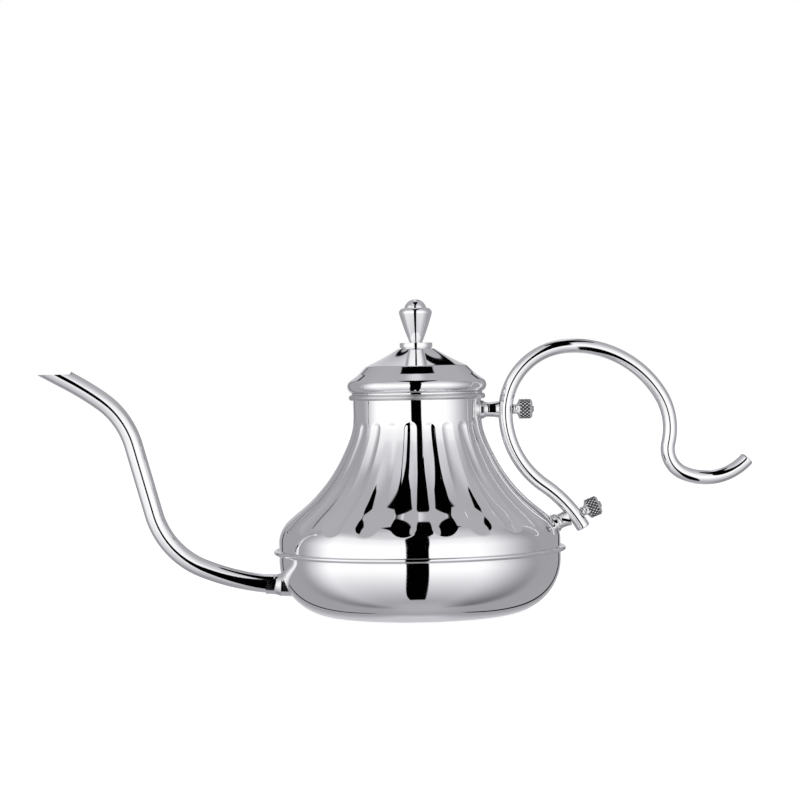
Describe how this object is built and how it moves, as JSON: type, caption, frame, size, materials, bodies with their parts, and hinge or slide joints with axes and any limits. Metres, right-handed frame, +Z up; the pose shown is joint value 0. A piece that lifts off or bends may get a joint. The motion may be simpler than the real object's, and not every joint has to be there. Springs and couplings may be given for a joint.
{
  "type": "gooseneck kettle",
  "caption": "Polished steel pour-over kettle: fluted bell on a round pan, thin S-shaped spout, open bent-bar handle held by knurled thumb screws, and a lift-off lid with a turned knob.",
  "frame": {"origin": "centre of the base, on the surface the kettle stands on", "axes": "+Z up along the kettle's axis, +X from the axis towards the handle, so the spout points to -X"},
  "size_m": [0.3047, 0.1246, 0.1341],
  "materials": {
    "body_steel": "mirror-polished stainless steel sheet",
    "spout_steel": "mirror-polished stainless steel tube",
    "handle_steel": "mirror-polished stainless steel bar",
    "fitting_steel": "polished turned stainless steel",
    "knurled_steel": "nickel-plated steel with diamond knurling",
    "screw_steel": "plain machined steel",
    "inside_steel": "satin stainless steel inside the lid"
  },
  "bodies": {
    "kettle": {"upper_shell": "body_steel", "lower_pan": "body_steel", "spout_tube": "spout_steel", "spout_collar": "spout_steel", "upper_standoff": "fitting_steel", "lower_standoff": "fitting_steel", "handle_bar": "handle_steel"},
    "lid": {"lid_shell": "body_steel", "lid_skirt": "inside_steel", "knob_collar": "fitting_steel", "knob": "fitting_steel", "knob_cap": "fitting_steel", "knob_washer": "inside_steel", "knob_screw": "screw_steel"},
    "upper_stud": {"upper_screw_stud": "screw_steel"},
    "upper_head": {"upper_screw_head": "knurled_steel"},
    "lower_stud": {"lower_screw_stud": "screw_steel"},
    "lower_head": {"lower_screw_head": "knurled_steel"}
  },
  "joints": [
    {"name": "lid_lift", "type": "slide", "parent": "kettle", "child": "lid", "axis": [0, 0, 1], "range_m": [0, 0.06]},
    {"name": "upper_screw_travel", "type": "slide", "parent": "kettle", "child": "upper_stud", "axis": [1, 0, 0], "range_m": [0, 0.005]},
    {"name": "upper_screw_turn", "type": "hinge", "parent": "upper_stud", "child": "upper_head", "pos_m": [0.0377, 0, 0.0864], "axis": [1, 0, 0], "range_deg": [0, 3600]},
    {"name": "lower_screw_travel", "type": "slide", "parent": "kettle", "child": "lower_stud", "axis": [0.9272, 0, 0.3746], "range_m": [0, 0.005]},
    {"name": "lower_screw_turn", "type": "hinge", "parent": "lower_stud", "child": "lower_head", "pos_m": [0.06668, 0, 0.04068], "axis": [0.9272, 0, 0.3746], "range_deg": [0, 3600]}
  ],
  "couplings": [
    {"joint": "upper_screw_turn", "follows": "upper_screw_travel", "rad_per_m": 12566},
    {"joint": "lower_screw_turn", "follows": "lower_screw_travel", "rad_per_m": 12566}
  ]
}
